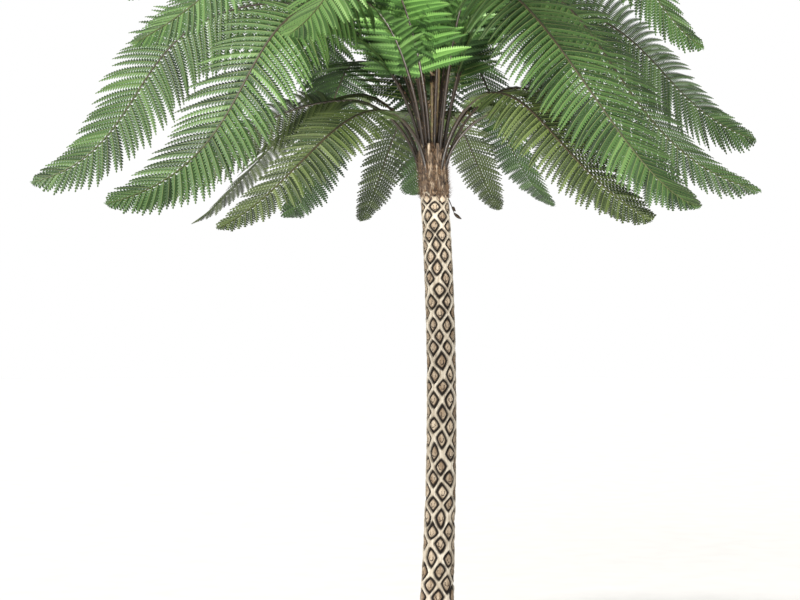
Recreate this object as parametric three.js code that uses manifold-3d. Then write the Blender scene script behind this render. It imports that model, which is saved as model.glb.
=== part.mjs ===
// Tree fern: a slender bowed trunk with a flared foot, a head of packed stalk bases, and a
// crown of long arching fronds in three tiers, with a few young fronds still coiled.
// Millimetres, +Z up, origin in the middle of the flat cut at ground level.

import * as THREE from 'three';
import { mergeVertices } from 'three/addons/utils/BufferGeometryUtils.js';
import Module from 'manifold-3d';

const wasm = await Module();
wasm.setup();

// ---------------------------------------------------------------- driving dimensions
const GAP = 0.3; // clear space between touching pieces

const HEAD_HEIGHT = 3850; // ground to the level from which the crown is measured
const TRUNK_TOP = HEAD_HEIGHT - 190; // where the scarred trunk ends and the head begins
const FOOT_RADIUS = 106; // of the trunk at the ground, without its flare
const NECK_RADIUS = 95; // of the trunk at its top
const FLARE = 150; // how far the root mantle stands out from the trunk at the ground
const FLARE_HEIGHT = 330; // height in which the flare falls to about a third
const ROOT_LOBES = 7; // ridges of root mantle round the foot
const LOBE_DEPTH = 0.18; // of the flare
const BOW = 62; // how far the trunk bows towards +X
const BOW_SKEW = 1.2; // over 1 sets the middle of the bow above half height
const TRUNK_SIDES = 24;
const TRUNK_RINGS = 20;
const RING_CROWDING = 1.5; // over 1 crowds the trunk's rings towards its flare

const STALK_RADIUS = 12.5; // of a frond's stalk at the head
const RIB_TIP_RADIUS = 3; // of its rib near the tip
const BLADE_DROOP = 20; // degrees that each half of a blade hangs below the rib
const BLADE_FULL = 0.42; // fraction at which the blade reaches its full width
const ROOM_SHARE = 0.3; // widest half blade, per unit of distance from the trunk's axis
const BEND = 0.42; // fraction at which a frond arches over, and is parted in two
const RISE_PULL = 0.55; // share of its rise through which a stalk keeps its first slope
const ARCH_PULL = 0.45; // share of its reach through which it is already level
const SWING_PULL = 0.3; // share of a tip's swing that its flare has taken up
const INNER_STEPS = 7;
const OUTER_STEPS = 10;

// The tiers of fronds, oldest first. Each gives where its stalks are seated, measured from
// the axis and from HEAD_HEIGHT, the slopes at which they rise and at which their tips end,
// in degrees, and the fraction of a frond that is bare stalk. Then for each frond: its
// azimuth, the radius and height of its arch and of its tip, the shares of the way between
// them in which the curve carries on level past the arch and flares out to the tip, how far
// the tip swings to the left, and of its blade, by how many degrees it rolls to the left
// about the rib and half its full width.
const TIERS = [
  {
    name: 'lower',
    seat: [86, -70],
    rise: 80,
    tipSlope: 24,
    bare: 0.25,
    colour: 0x56702c,
    fronds: [
      {azimuth: 18, arch: [640, 560], tip: [2120, -220], curve: [0.45, 0.4], swing: 100, blade: [-40, 400]},
      {azimuth: 47, arch: [600, 480], tip: [2150, -330], curve: [0.45, 0.4], swing: -80, blade: [-14, 340]},
      {azimuth: 78, arch: [600, 430], tip: [2240, -220], curve: [0.34, 0.43], swing: -110, blade: [4, 240]},
      {azimuth: 102, arch: [620, 445], tip: [2240, -310], curve: [0.5, 0.6], swing: 85, blade: [-6, 235]},
      {azimuth: 147, arch: [640, 530], tip: [2160, -360], curve: [0.4, 0.4], swing: -10, blade: [12, 340]},
      {azimuth: 174, arch: [580, 460], tip: [2110, -280], curve: [0.45, 0.4], swing: 40, blade: [40, 350]},
      {azimuth: 239, arch: [640, 330], tip: [2180, -510], curve: [0.42, 0.4], swing: -270, blade: [22, 300]},
      {azimuth: 308, arch: [620, 455], tip: [2140, -460], curve: [0.3, 0.58], swing: 10, blade: [-30, 320]},
      {azimuth: 330, arch: [600, 370], tip: [1990, -315], curve: [0.42, 0.4], swing: -30, blade: [-24, 260]},
    ],
  },
  {
    name: 'middle',
    seat: [64, 0],
    rise: 83,
    tipSlope: 14,
    bare: 0.21,
    colour: 0x4c7a2e,
    fronds: [
      {azimuth: 26, arch: [700, 1205], tip: [2726, 267], curve: [0.6, 0.48], swing: -45, blade: [-66, 500]},
      {azimuth: 66, arch: [520, 860], tip: [2510, -180], curve: [0.3, 0.68], swing: 0, blade: [-10, 280]},
      {azimuth: 91, arch: [840, 1250], tip: [2450, -80], curve: [0.45, 0.5], swing: 70, blade: [4, 430]},
      {azimuth: 125, arch: [960, 815], tip: [2130, -290], curve: [0.3, 0.53], swing: -120, blade: [-2, 380]},
      {azimuth: 148, arch: [860, 1270], tip: [2600, -120], curve: [0.45, 0.45], swing: -150, blade: [26, 440]},
      {azimuth: 182, arch: [1000, 1130], tip: [2790, -130], curve: [0.67, 0.52], swing: 25, blade: [66, 460]},
      {azimuth: 218, arch: [640, 1095], tip: [2560, -345], curve: [0.58, 0.66], swing: -80, blade: [46, 460]},
      {azimuth: 310, arch: [450, 1235], tip: [2430, -380], curve: [0.32, 0.31], swing: 40, blade: [-24, 480]},
      {azimuth: 352, arch: [540, 1270], tip: [2260, -200], curve: [0.4, 0.6], swing: -60, blade: [-44, 420]},
    ],
  },
  {
    name: 'upper',
    seat: [42, 70],
    rise: 86,
    tipSlope: 28,
    bare: 0.24,
    colour: 0x5f9138,
    fronds: [
      {azimuth: 6, arch: [760, 1900], tip: [1950, 850], curve: [0.5, 0.41], swing: 35, blade: [-60, 470]},
      {azimuth: 52, arch: [900, 1830], tip: [2200, 600], curve: [0.45, 0.4], swing: 480, blade: [-8, 480]},
      {azimuth: 88, arch: [860, 1760], tip: [2100, 660], curve: [0.45, 0.4], swing: 70, blade: [6, 500]},
      {azimuth: 124, arch: [900, 1860], tip: [2250, 600], curve: [0.45, 0.4], swing: -540, blade: [8, 500]},
      {azimuth: 168, arch: [960, 1990], tip: [2240, 1220], curve: [0.45, 0.4], swing: 70, blade: [38, 440]},
      {azimuth: 204, arch: [700, 1830], tip: [2180, 730], curve: [0.3, 0.6], swing: -40, blade: [42, 420]},
      {azimuth: 241, arch: [950, 1380], tip: [1720, 720], curve: [0.3, 0.66], swing: -110, blade: [14, 480]},
      {azimuth: 284, arch: [780, 2060], tip: [1850, 1180], curve: [0.45, 0.4], swing: -60, blade: [-16, 440]},
      {azimuth: 328, arch: [900, 1900], tip: [1960, 1150], curve: [0.45, 0.4], swing: 60, blade: [-46, 440]},
    ],
  },
];

// Young fronds still coiled: azimuth, and height of the coil's middle above HEAD_HEIGHT.
const CROZIERS = [
  [28, 660],
  [148, 420],
  [262, 540],
];
const CROZIER_SEAT = [18, 90]; // from the axis, and above HEAD_HEIGHT
const CROZIER_LEAN = 48; // how far from the axis the stalk has come under its coil
const CROZIER_RADIUS = 11; // of the stalk
const CROZIER_SIDES = 8;
const COIL_RADIUS = 38;
const COIL_TURNS = 1.4;
const COIL_END = 0.28; // of the coil's radius, where its tip lies
const STALK_STEPS = 4;
const COIL_STEPS = 16;

// Colour and roughness of each kind of piece; a tier gives its own colour.
const BARK = [0x6b5a48, 0.9];
const HEAD_SCALES = [0x3d2c1e, 0.95];
const COILED_FROND = [0x7a6a3a, 0.8];
const LEAF_ROUGHNESS = 0.6;

// ---------------------------------------------------------------- shared shapes
const group = new THREE.Group();
const UP = new THREE.Vector3(0, 0, 1);
const { degToRad, lerp, smoothstep } = THREE.MathUtils;

function addPiece(name, geometry, colour, roughness) {
  const material = new THREE.MeshStandardMaterial({ color: colour, roughness, metalness: 0 });
  const mesh = new THREE.Mesh(geometry, material);
  mesh.name = name;
  group.add(mesh);
}

function polar(azimuth, radius, height) {
  const angle = degToRad(azimuth);
  return new THREE.Vector3(radius * Math.cos(angle), radius * Math.sin(angle), height);
}

// A closed skin over a row of rings of points. The rings run anticlockwise as seen from
// the far end, and a ring of one point brings an end to a tip. The two halves of a ring are
// parted into triangles as mirror images, so that the upper and lower skins of a thin,
// twisted blade run parallel and never cross.
function loft(rings) {
  const sides = rings[0].length;
  const positions = rings.flat().flatMap((point) => point.toArray());
  const at = (ring, side) => ring * sides + (rings[ring].length === 1 ? 0 : side % sides);
  const index = [];
  for (let ring = 0; ring + 1 < rings.length; ring += 1) {
    for (let side = 0; side < sides; side += 1) {
      const [a, b] = [at(ring, side), at(ring, side + 1)];
      const [c, d] = [at(ring + 1, side + 1), at(ring + 1, side)];
      const mirrored = side >= sides / 2;
      index.push(a, b, mirrored ? d : c);
      if (rings[ring + 1].length > 1) index.push(mirrored ? b : a, c, d);
    }
  }
  for (let side = 1; side + 1 < sides; side += 1) {
    index.push(at(0, 0), at(0, side + 1), at(0, side));
    if (rings[rings.length - 1].length > 1) {
      index.push(at(rings.length - 1, 0), at(rings.length - 1, side), at(rings.length - 1, side + 1));
    }
  }
  const geometry = new THREE.BufferGeometry();
  geometry.setAttribute('position', new THREE.Float32BufferAttribute(positions, 3));
  geometry.setIndex(index);
  return geometry;
}

function solidFrom(geometry) {
  const merged = mergeVertices(geometry, GAP / 100);
  return new wasm.Manifold(
    new wasm.Mesh({
      numProp: 3,
      vertProperties: merged.attributes.position.array,
      triVerts: new Uint32Array(merged.index.array),
    }),
  );
}

function geometryFrom(solid) {
  const mesh = solid.getMesh();
  const geometry = new THREE.BufferGeometry();
  geometry.setAttribute('position', new THREE.Float32BufferAttribute(mesh.vertProperties, 3));
  geometry.setIndex(new THREE.Uint32BufferAttribute(mesh.triVerts, 1));
  return geometry;
}

// ---------------------------------------------------------------- trunk and head
// The trunk's centre line, which the head carries on.
function trunkCentre(height) {
  const rise = Math.min(height / HEAD_HEIGHT, 1);
  return new THREE.Vector3(BOW * Math.sin(Math.PI * rise ** BOW_SKEW), 0, height);
}

function trunkRing(height, radiusAt) {
  const centre = trunkCentre(height);
  return Array.from({ length: TRUNK_SIDES }, (_, side) => {
    const azimuth = (360 * side) / TRUNK_SIDES;
    return polar(azimuth, radiusAt(azimuth), 0).add(centre);
  });
}

// Rings crowd towards the foot, where the flare curves most.
function trunkGeometry() {
  const rings = [];
  for (let i = 0; i <= TRUNK_RINGS; i += 1) {
    const height = TRUNK_TOP * (i / TRUNK_RINGS) ** RING_CROWDING;
    const plain = lerp(FOOT_RADIUS, NECK_RADIUS, height / TRUNK_TOP);
    const flare = FLARE * Math.exp(-height / FLARE_HEIGHT);
    const lobes = (azimuth) => Math.cos(degToRad(ROOT_LOBES * azimuth));
    rings.push(trunkRing(height, (azimuth) => plain + flare * (1 + LOBE_DEPTH * lobes(azimuth))));
  }
  return loft(rings);
}

// Radius of the head at heights above HEAD_HEIGHT, from its foot to its dome.
const HEAD_PROFILE = [
  [TRUNK_TOP - HEAD_HEIGHT + GAP, NECK_RADIUS + 3],
  [-110, 101],
  [-30, 104],
  [40, 97],
  [95, 74],
  [130, 40],
  [140, 12],
];

function headGeometry(sockets) {
  const rings = HEAD_PROFILE.map(([height, radius]) => trunkRing(HEAD_HEIGHT + height, () => radius));
  let solid = solidFrom(loft(rings));
  for (const socket of sockets) solid = solid.subtract(solidFrom(socket));
  return geometryFrom(solid);
}

// ---------------------------------------------------------------- fronds
// A frond's rib rises from its seat to a level arch, then falls in a long double curve.
function ribPath(tier, frond) {
  const outward = polar(frond.azimuth, 1, 0);
  const sideways = new THREE.Vector3().crossVectors(UP, outward);
  const at = ([radius, height], side = 0) =>
    polar(frond.azimuth, radius, HEAD_HEIGHT + height).addScaledVector(sideways, side);
  const along = ([radius, height], degrees, distance) => {
    const angle = degToRad(degrees);
    return [radius + distance * Math.cos(angle), height + distance * Math.sin(angle)];
  };
  const rise = RISE_PULL * (frond.arch[1] - tier.seat[1]);
  const shoulder = ARCH_PULL * (frond.arch[0] - tier.seat[0]);
  const fall = frond.tip[0] - frond.arch[0];
  const [carry, flare] = frond.curve;
  const path = new THREE.CurvePath();
  path.add(
    new THREE.CubicBezierCurve3(
      at(tier.seat),
      at(along(tier.seat, tier.rise, rise)),
      at(along(frond.arch, 0, -shoulder)),
      at(frond.arch),
    ),
  );
  path.add(
    new THREE.CubicBezierCurve3(
      at(frond.arch),
      at(along(frond.arch, 0, carry * fall)),
      at(along(frond.tip, 180 - tier.tipSlope, flare * fall), SWING_PULL * frond.swing),
      at(frond.tip, frond.swing),
    ),
  );
  return path;
}

// Half the blade's width at a fraction of the frond, bounded near the head by the room
// that each frond has between its neighbours.
function halfWidth(tier, frond, fraction, radius) {
  const [, width] = frond.blade;
  const opening = smoothstep(fraction, tier.bare, BLADE_FULL);
  const tapering = Math.sqrt(Math.max(0, 1 - ((fraction - BLADE_FULL) / (1 - BLADE_FULL)) ** 2));
  const outline = fraction < BLADE_FULL ? opening : tapering;
  return Math.min(width * outline, ROOM_SHARE * radius);
}

// A six-sided ring round the rib, drawn out sideways into the two drooping half blades.
function frondRing(path, tier, frond, fraction, extra = 0) {
  const centre = path.getPoint(fraction);
  const along = path.getTangent(fraction);
  const [roll] = frond.blade;
  const turn = -degToRad(roll * smoothstep(fraction, tier.bare, BLADE_FULL));
  const left = new THREE.Vector3().crossVectors(UP, along).normalize().applyAxisAngle(along, turn);
  const above = new THREE.Vector3().crossVectors(along, left);
  const rib = lerp(STALK_RADIUS, RIB_TIP_RADIUS, fraction) + extra;
  const blade = halfWidth(tier, frond, fraction, Math.hypot(centre.x, centre.y));
  const droop = degToRad(BLADE_DROOP);
  return [0, 60, 120, 180, 240, 300].map((degrees) => {
    const angle = degToRad(degrees);
    const point = centre.clone();
    point.addScaledVector(left, rib * Math.cos(angle));
    point.addScaledVector(above, rib * Math.sin(angle));
    if (degrees % 180 === 0) {
      point.addScaledVector(left, Math.cos(angle) * blade * Math.cos(droop));
      point.addScaledVector(above, -blade * Math.sin(droop));
    }
    return point;
  });
}

function frondStretch(path, tier, frond, from, to, steps) {
  const rings = [];
  for (let i = 0; i <= steps; i += 1) {
    rings.push(frondRing(path, tier, frond, lerp(from, to, i / steps)));
  }
  return rings;
}

// The socket that a stalk leaves in the head: its first stretch, wider by the gap.
function frondSocket(path, tier, frond) {
  const first = BEND / INNER_STEPS;
  const wider = GAP / Math.cos(Math.PI / 6);
  const rings = [0, first].map((fraction) => frondRing(path, tier, frond, fraction, wider));
  const deeper = path.getTangent(0).multiplyScalar(-GAP);
  rings[0].forEach((point) => point.add(deeper));
  return loft(rings);
}

// ---------------------------------------------------------------- coiled young fronds
// A round ring of the stalk, in the upright plane of its azimuth.
function crozierRing(azimuth, radius, height, slope, thickness) {
  const across = polar(azimuth + 90, 1, 0);
  const along = polar(azimuth, Math.cos(slope), Math.sin(slope));
  const inner = new THREE.Vector3().crossVectors(along, across);
  return Array.from({ length: CROZIER_SIDES }, (_, side) => {
    const angle = (2 * Math.PI * side) / CROZIER_SIDES;
    return polar(azimuth, radius, HEAD_HEIGHT + height)
      .addScaledVector(across, thickness * Math.cos(angle))
      .addScaledVector(inner, thickness * Math.sin(angle));
  });
}

// The upright stretch under the coil; a socket for it is wider and deeper by the gap.
function crozierStalk([azimuth, coilHeight], extra = 0) {
  const [seatRadius, seatHeight] = CROZIER_SEAT;
  return Array.from({ length: STALK_STEPS + 1 }, (_, i) => {
    const radius = lerp(seatRadius, CROZIER_LEAN, i / STALK_STEPS);
    const height = lerp(seatHeight - extra, coilHeight, i / STALK_STEPS);
    return crozierRing(azimuth, radius, height, Math.PI / 2, CROZIER_RADIUS + extra);
  });
}

function crozierCoil([azimuth, coilHeight]) {
  return Array.from({ length: COIL_STEPS }, (_, i) => {
    const share = (i + 1) / COIL_STEPS;
    const turn = 2 * Math.PI * COIL_TURNS * share;
    const size = COIL_RADIUS * lerp(1, COIL_END, share);
    const radius = CROZIER_LEAN - COIL_RADIUS + size * Math.cos(turn);
    const height = coilHeight + size * Math.sin(turn);
    const thickness = lerp(CROZIER_RADIUS, CROZIER_RADIUS / 2, share);
    return crozierRing(azimuth, radius, height, Math.PI / 2 + turn, thickness);
  });
}

// ---------------------------------------------------------------- assembly
const sockets = CROZIERS.map((crozier) => loft(crozierStalk(crozier, GAP)));
for (const tier of TIERS) {
  tier.fronds.forEach((frond, i) => {
    const path = ribPath(tier, frond);
    const rest = BEND + GAP / path.getLength();
    const arch = frondStretch(path, tier, frond, 0, BEND, INNER_STEPS);
    const fall = frondStretch(path, tier, frond, rest, 1, OUTER_STEPS);
    fall[OUTER_STEPS] = [path.getPoint(1)];
    sockets.push(frondSocket(path, tier, frond));
    addPiece(`frond_${tier.name}_${i + 1}_arch`, loft(arch), tier.colour, LEAF_ROUGHNESS);
    addPiece(`frond_${tier.name}_${i + 1}_fall`, loft(fall), tier.colour, LEAF_ROUGHNESS);
  });
}
CROZIERS.forEach((crozier, i) => {
  const geometry = loft([...crozierStalk(crozier), ...crozierCoil(crozier)]);
  addPiece(`crozier_${i + 1}`, geometry, ...COILED_FROND);
});
addPiece('head', headGeometry(sockets), ...HEAD_SCALES);
addPiece('trunk', trunkGeometry(), ...BARK);

export default group;
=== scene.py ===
"""A tree fern: a bowed, scarred trunk on its root mantle, a shaggy head of stalk bases, and
a crown of twenty-seven arching fronds round three that are still coiled. Metres, +Z up."""

import math
import random

import bpy
import numpy as np
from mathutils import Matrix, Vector, noise


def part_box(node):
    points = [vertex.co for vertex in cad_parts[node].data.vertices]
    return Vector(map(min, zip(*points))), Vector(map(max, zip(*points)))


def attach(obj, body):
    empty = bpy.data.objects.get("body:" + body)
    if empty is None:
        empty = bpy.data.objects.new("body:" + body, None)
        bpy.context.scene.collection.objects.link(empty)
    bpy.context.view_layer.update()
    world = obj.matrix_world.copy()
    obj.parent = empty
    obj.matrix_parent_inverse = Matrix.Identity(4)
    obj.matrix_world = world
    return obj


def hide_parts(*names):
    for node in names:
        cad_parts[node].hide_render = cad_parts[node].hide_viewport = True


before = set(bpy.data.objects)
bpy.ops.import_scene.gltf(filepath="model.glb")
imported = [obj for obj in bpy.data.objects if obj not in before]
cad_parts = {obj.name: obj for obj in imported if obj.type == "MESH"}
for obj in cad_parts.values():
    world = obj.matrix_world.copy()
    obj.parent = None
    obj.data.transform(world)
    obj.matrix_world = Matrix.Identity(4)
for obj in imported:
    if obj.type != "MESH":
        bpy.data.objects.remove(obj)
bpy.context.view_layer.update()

# ================================================================ trunk
# The trunk is one column of hard black fibre. Each frond it has shed leaves a rounded
# diamond scar with a sunken rim, and the pale bark between them stands as a lattice.
# Towards the ground the scars vanish under the mantle of matted roots.

TRUNK_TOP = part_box("trunk")[1].z
HEAD_HEIGHT = TRUNK_TOP + 0.19  # the level from which the crown is measured
FOOT_RADIUS = 0.106
NECK_RADIUS = 0.095
FLARE = 0.150
FLARE_HEIGHT = 0.330
ROOT_LOBES = 7
LOBE_DEPTH = 0.18
BOW = 0.062
BOW_SKEW = 1.2

TRUNK_SIDES = 128
TRUNK_RINGS = 600
SCARS_ROUND = 5
SCAR_PITCH = 0.186  # up the trunk, from scar to scar
SCAR_PITCH_TOP = 0.112
SCAR_CROWDING = 5  # the higher, the nearer to the head the scars begin to close up
SCAR_TURN = 0.69  # how far the lattice is turned about the trunk, in scars
SCAR_TWIST = 0.03  # and how much further it turns in each metre
SCAR_ROUNDING = 1.25  # 1 is a sharp diamond, 2 an oval
SCAR_STRAY = (0.17, 0.13)  # how far a scar strays from the lattice, in scars, across and up
SCAR_STRAY_SIZE = 0.16  # size of the lumps in which neighbours stray together
SCAR_UNEVEN = 0.22  # how much the scars differ in size
SCAR_UNEVEN_SIZE = 0.09
RIM_INSIDE = (0.36, 0.49)  # where the scar's face goes over into the sunken rim
RIM_OUTSIDE = (0.68, 0.81)  # and where the rim goes over into the ridge
RIDGE_HEIGHT = 0.0050
GROOVE_DEPTH = 0.0080
FACE_HEIGHT = 0.0010
FACE_RELIEF = 0.0015
GRAIN_SIZE = 0.012
GRAIN_RELIEF = 0.0012
MANTLE_FULL = 0.44  # up to which the roots hide all of the bark
MANTLE_TOP = 0.74  # where the first roots come out over the scars
MANTLE_RAGGED = 0.16  # how far the mantle's edge strays up and down
MAT_LUMPS = (0.006, 0.008)  # relief of the matted roots, fine and coarse


def lerp(a, b, share):
    return a + (b - a) * share


def smoothstep(value, low, high):
    share = np.clip((value - low) / (high - low), 0, 1)
    return share * share * (3 - 2 * share)


def trunk_centre(height):
    rise = np.minimum(np.asarray(height) / HEAD_HEIGHT, 1)
    bow = BOW * np.sin(np.pi * rise**BOW_SKEW)
    return np.stack([bow, np.zeros_like(bow), np.asarray(height) + 0 * bow], axis=-1)


def trunk_radius(azimuth, height):
    plain = lerp(FOOT_RADIUS, NECK_RADIUS, height / TRUNK_TOP)
    lobes = 1 + LOBE_DEPTH * np.cos(ROOT_LOBES * azimuth)
    return plain + FLARE * np.exp(-height / FLARE_HEIGHT) * lobes


def outward_at(azimuth):
    """The level direction away from the trunk at an angle round it."""
    azimuth = np.asarray(azimuth, float)
    return np.stack([np.cos(azimuth), np.sin(azimuth), 0 * azimuth], axis=-1)


def on_trunk(azimuth, height, standing=0.0):
    """A point on the trunk's skin, or standing out from it."""
    reach = trunk_radius(azimuth, np.asarray(height, float)) + standing
    return trunk_centre(height) + outward_at(azimuth) * np.asarray(reach)[..., None]


def roughly(points, size, seed=0.0):
    """Smooth noise from -1 to 1 at each point, with lumps of the given size."""
    shift = Vector((seed, 2.3 * seed, 5.1 * seed))
    flat = np.asarray(points).reshape(-1, 3) / size
    values = [noise.noise(Vector(point) + shift) for point in flat]
    return np.array(values).reshape(np.shape(points)[:-1])


def scar_pitch(height):
    return lerp(SCAR_PITCH, SCAR_PITCH_TOP, (height / TRUNK_TOP) ** SCAR_CROWDING)


SCAR_HEIGHTS = np.linspace(0, TRUNK_TOP, 400)
SCAR_ROWS = np.cumsum(SCAR_HEIGHTS[1] / scar_pitch(SCAR_HEIGHTS))


def scar_lattice(azimuth, height):
    """Column and row of a place in the lattice of scars, a scar at every whole number and
    at every half."""
    row = np.interp(height, SCAR_HEIGHTS, SCAR_ROWS)
    column = SCARS_ROUND * azimuth / (2 * np.pi) + SCAR_TURN + SCAR_TWIST * height
    return column, row


def scar_distance(column, row):
    """0 at the middle of the nearest scar and about 1 at the middle of the ridge."""
    nearest = 2.0
    for half in (0, 0.5):
        across = 2 * np.abs(column - half - np.round(column - half))
        up = 2 * np.abs(row - half - np.round(row - half))
        rounded = (across**SCAR_ROUNDING + up**SCAR_ROUNDING) ** (1 / SCAR_ROUNDING)
        nearest = np.minimum(nearest, rounded)
    return nearest


def skin_faces(rings, sides):
    """Triangles of the skin round a row of rings, as vertex numbers."""
    ring, side = np.meshgrid(np.arange(rings - 1), np.arange(sides), indexing="ij")
    after = (side + 1) % sides
    a, b = ring * sides + side, ring * sides + after
    c, d = b + sides, a + sides
    pairs = np.stack([np.stack([a, b, c], -1), np.stack([a, c, d], -1)], axis=2)
    return pairs.reshape(-1, 3)


def joined(parts):
    """One list of vertices and one of faces from several."""
    starts = np.cumsum([0] + [len(vertices) for vertices, _ in parts])
    vertices = np.concatenate([vertices for vertices, _ in parts])
    faces = np.concatenate([faces + start for (_, faces), start in zip(parts, starts)])
    return vertices, faces


def make_piece(name, vertices, faces, materials, nodes=(), smooth=True):
    """A piece of triangles that belongs to the tree and stands for the CAD nodes named."""
    mesh = bpy.data.meshes.new(name)
    mesh.vertices.add(len(vertices))
    mesh.vertices.foreach_set("co", np.ravel(vertices).astype(np.float32))
    mesh.loops.add(faces.size)
    mesh.loops.foreach_set("vertex_index", np.ravel(faces).astype(np.int32))
    mesh.polygons.add(len(faces))
    mesh.polygons.foreach_set("loop_start", np.arange(0, faces.size, 3, dtype=np.int32))
    mesh.polygons.foreach_set("use_smooth", np.full(len(faces), smooth))
    mesh.update(calc_edges=True)
    for material in materials:
        mesh.materials.append(material)
    piece = bpy.data.objects.new(name, mesh)
    bpy.context.collection.objects.link(piece)
    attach(piece, "root")
    if nodes:
        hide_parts(*nodes)
    return piece


def set_attribute(piece, name, values):
    layer = piece.data.attributes.new(name, "FLOAT", "POINT")
    layer.data.foreach_set("value", np.ravel(values).astype(np.float32))


def ring_and_side(faces, sides):
    """The ring and the side round it of every corner of a skin's faces. The faces that close
    the skin reach on to a side past the last one."""
    ring, side = np.divmod(faces, sides)
    closing = (side == 0) & (side.max(1, keepdims=True) > sides / 2)
    return ring, np.where(closing, sides, side)


def set_unrolled(piece, across, along):
    """The map of the piece's skin unrolled flat, from a place for each corner."""
    layer = piece.data.uv_layers.new(name="OFBake")
    layer.data.foreach_set("uv", np.stack([across, along], -1).ravel().astype(np.float32))


def add_node(tree, kind, inputs=None, **settings):
    """A shader node. An input given as another node's socket is linked to it."""
    node = tree.nodes.new(kind)
    for name, value in settings.items():
        setattr(node, name, value)
    for name, value in (inputs or {}).items():
        if isinstance(value, bpy.types.NodeSocket):
            tree.links.new(value, node.inputs[name])
        else:
            node.inputs[name].default_value = value
    return node


def new_material(name):
    """A material with its Principled shader, and the tree to build it in."""
    material = bpy.data.materials.new(name)
    material.use_nodes = True
    return material, material.node_tree, material.node_tree.nodes["Principled BSDF"]


def blend_colours(tree, share, first, second, mode="MIX"):
    """The output of a mix of two colours, each a value or a socket."""
    mix = tree.nodes.new("ShaderNodeMix")
    mix.data_type = "RGBA"
    mix.blend_type = mode
    for socket, value in zip((mix.inputs[0], mix.inputs[6], mix.inputs[7]), (share, first, second)):
        if isinstance(value, bpy.types.NodeSocket):
            tree.links.new(value, socket)
        else:
            socket.default_value = value
    return mix.outputs[2]


def stretched_noise(tree, stretch, scale, detail=4.0):
    """Noise over the piece's own space, drawn out along an axis where stretch is small."""
    place = add_node(tree, "ShaderNodeTexCoord").outputs["Object"]
    mapping = add_node(tree, "ShaderNodeMapping", {"Vector": place, "Scale": stretch})
    inputs = {"Vector": mapping.outputs[0], "Scale": scale, "Detail": detail}
    return add_node(tree, "ShaderNodeTexNoise", inputs).outputs["Fac"]


def ramp(tree, value, *stops):
    """A colour ramp through (place, colour) stops."""
    node = add_node(tree, "ShaderNodeValToRGB", {"Fac": value})
    while len(node.color_ramp.elements) < len(stops):
        node.color_ramp.elements.new(0.5)
    for element, (place, colour) in zip(node.color_ramp.elements, stops):
        element.position = place
        element.color = colour
    return node.outputs["Color"]


BARK_GROOVE = (0.014, 0.010, 0.008, 1)
BARK_RIDGE = (0.520, 0.460, 0.365, 1)
BARK_RIDGE_WORN = (0.780, 0.720, 0.610, 1)
SCAR_FACE = (0.360, 0.270, 0.185, 1)
SCAR_FACE_WORN = (0.660, 0.560, 0.430, 1)
ROOT_BROWN = (0.055, 0.032, 0.020, 1)
ROOT_BROWN_PALE = (0.150, 0.095, 0.060, 1)
BLACK = (0, 0, 0, 1)
WHITE = (1, 1, 1, 1)


def bark_finish():
    """Fibrous bark: dark in the scars' rims, pale and weathered on the ridges between."""
    material, tree, shader = new_material("bark")
    ridge, face, mantle = [
        add_node(tree, "ShaderNodeAttribute", attribute_name=name).outputs["Fac"]
        for name in ("ridge", "face", "mantle")
    ]
    fibre = stretched_noise(tree, (1, 1, 0.12), 90, 6)
    patch = stretched_noise(tree, (1, 1, 0.6), 11)
    worn = ramp(tree, patch, (0.35, BLACK), (0.62, WHITE))
    ridge_colour = blend_colours(tree, worn, BARK_RIDGE, BARK_RIDGE_WORN)
    bleached = ramp(tree, patch, (0.4, WHITE), (0.6, BLACK))
    face_colour = blend_colours(tree, bleached, SCAR_FACE, SCAR_FACE_WORN)
    colour = blend_colours(tree, ridge, BARK_GROOVE, ridge_colour)
    colour = blend_colours(tree, face, colour, face_colour)
    root_colour = blend_colours(tree, fibre, ROOT_BROWN, ROOT_BROWN_PALE)
    colour = blend_colours(tree, mantle, colour, root_colour)
    streaks = ramp(tree, fibre, (0.3, (0.55, 0.5, 0.45, 1)), (0.65, WHITE))
    colour = blend_colours(tree, 1.0, colour, streaks, "MULTIPLY")
    rough = ramp(tree, fibre, (0.2, (0.95,) * 3 + (1,)), (0.8, (0.78,) * 3 + (1,)))
    bump = add_node(tree, "ShaderNodeBump", {"Height": fibre, "Strength": 0.6, "Distance": 0.004})
    tree.links.new(colour, shader.inputs["Base Color"])
    tree.links.new(rough, shader.inputs["Roughness"])
    tree.links.new(bump.outputs["Normal"], shader.inputs["Normal"])
    shader.inputs["Specular IOR Level"].default_value = 0.25
    return material


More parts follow.
